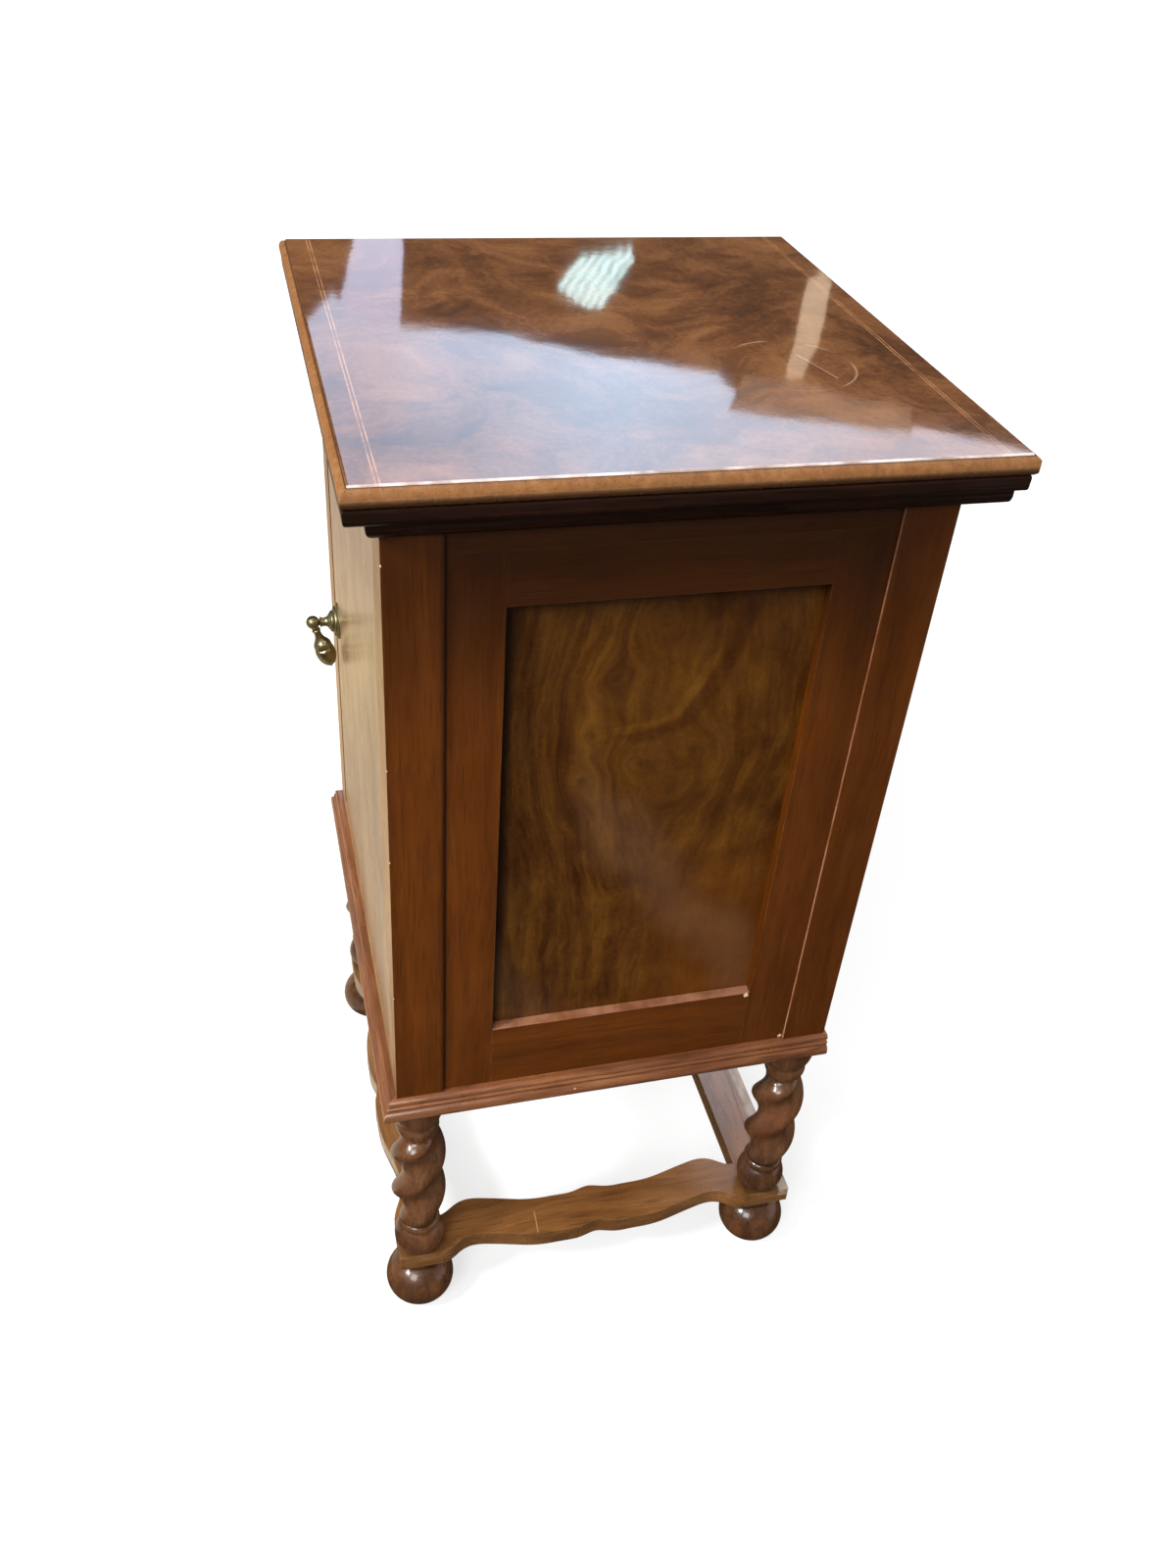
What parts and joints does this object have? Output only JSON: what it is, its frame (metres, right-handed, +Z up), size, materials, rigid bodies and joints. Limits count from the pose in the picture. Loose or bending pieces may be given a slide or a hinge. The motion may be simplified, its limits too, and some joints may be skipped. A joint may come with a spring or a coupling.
{
  "type": "cabinet on stand",
  "caption": "Small walnut cabinet with one flush door, panelled sides and a moulded top, on a stand of twist-turned legs with bun feet and flat shaped stretchers.",
  "frame": {"origin": "middle of the whole object's footprint, on the floor", "axes": "+Z up; -Y is the front, where the door is; +X is to the right of someone who faces the door"},
  "size_m": [0.447, 0.4298, 0.845],
  "materials": {
    "leg_wood": "dark brown walnut, turned, polished",
    "stretcher_wood": "golden brown walnut, straight grain, satin",
    "moulding_wood": "reddish brown walnut, satin",
    "cornice_wood": "very dark walnut, polished",
    "edge_wood": "golden tan cross-grained walnut, polished",
    "top_veneer": "dark burr walnut veneer, highly polished",
    "frame_wood": "reddish brown walnut, satin",
    "panel_veneer": "olive brown burr walnut veneer, polished",
    "door_veneer": "light tan walnut veneer, satin",
    "inner_wood": "plain secondary wood, unpolished",
    "brass": "plain brass",
    "aged_brass": "aged greenish brown brass",
    "steel": "plain steel"
  },
  "bodies": {
    "cabinet": {"bun_foot_front_left": "leg_wood", "bun_foot_front_right": "leg_wood", "bun_foot_back_left": "leg_wood", "bun_foot_back_right": "leg_wood", "twist_leg_front_left": "leg_wood", "twist_leg_front_right": "leg_wood", "twist_leg_back_left": "leg_wood", "twist_leg_back_right": "leg_wood", "stretcher_front": "stretcher_wood", "stretcher_back": "stretcher_wood", "stretcher_left": "stretcher_wood", "stretcher_right": "stretcher_wood", "stand_rail_front": "moulding_wood", "stand_rail_back": "moulding_wood", "stand_rail_left": "moulding_wood", "stand_rail_right": "moulding_wood", "cornice_front": "cornice_wood", "cornice_back": "cornice_wood", "cornice_left": "cornice_wood", "cornice_right": "cornice_wood", "top_edge_front": "edge_wood", "top_edge_back": "edge_wood", "top_edge_left": "edge_wood", "top_edge_right": "edge_wood", "top_board": "top_veneer", "post_front_left": "frame_wood", "post_front_right": "frame_wood", "post_back_left": "frame_wood", "post_back_right": "frame_wood", "side_left_stile_front": "frame_wood", "side_left_stile_back": "frame_wood", "side_left_rail_top": "frame_wood", "side_left_rail_bottom": "frame_wood", "side_left_panel": "panel_veneer", "side_right_stile_front": "frame_wood", "side_right_stile_back": "frame_wood", "side_right_rail_top": "frame_wood", "side_right_rail_bottom": "frame_wood", "side_right_panel": "panel_veneer", "top_rail_front": "frame_wood", "top_rail_back": "frame_wood", "top_rail_left": "frame_wood", "top_rail_right": "frame_wood", "carcass_bottom": "inner_wood", "back_panel": "inner_wood", "shelf": "inner_wood", "shelf_bearers": "inner_wood", "door_stop": "inner_wood", "hinge_plates_carcass": "brass", "catch_strike": "brass", "hinge_screws_carcass": "steel"},
    "door": {"door_leaf": "door_veneer", "hinge_plates_door": "brass", "hinge_screws_door": "steel", "catch_barrel": "brass", "pull_rose": "aged_brass", "pull_stem": "aged_brass"},
    "pull_drop": {"pull_drop": "aged_brass", "pull_pin": "aged_brass"},
    "catch_ball": {"catch_ball": "steel"}
  },
  "joints": [
    {"name": "door_hinge", "type": "hinge", "parent": "cabinet", "child": "door", "pos_m": [0.1505, -0.1831, 0.555], "axis": [0, 0, 1], "range_deg": [0, 120]},
    {"name": "drop_swing", "type": "hinge", "parent": "door", "child": "pull_drop", "pos_m": [-0.141, -0.2091, 0.543], "axis": [-1, 0, 0], "range_deg": [0, 100]},
    {"name": "catch_slide", "type": "slide", "parent": "door", "child": "catch_ball", "axis": [1, 0, 0], "range_m": [0, 0.0015], "stiffness_N_per_m": 300, "springref_m": -0.002}
  ]
}
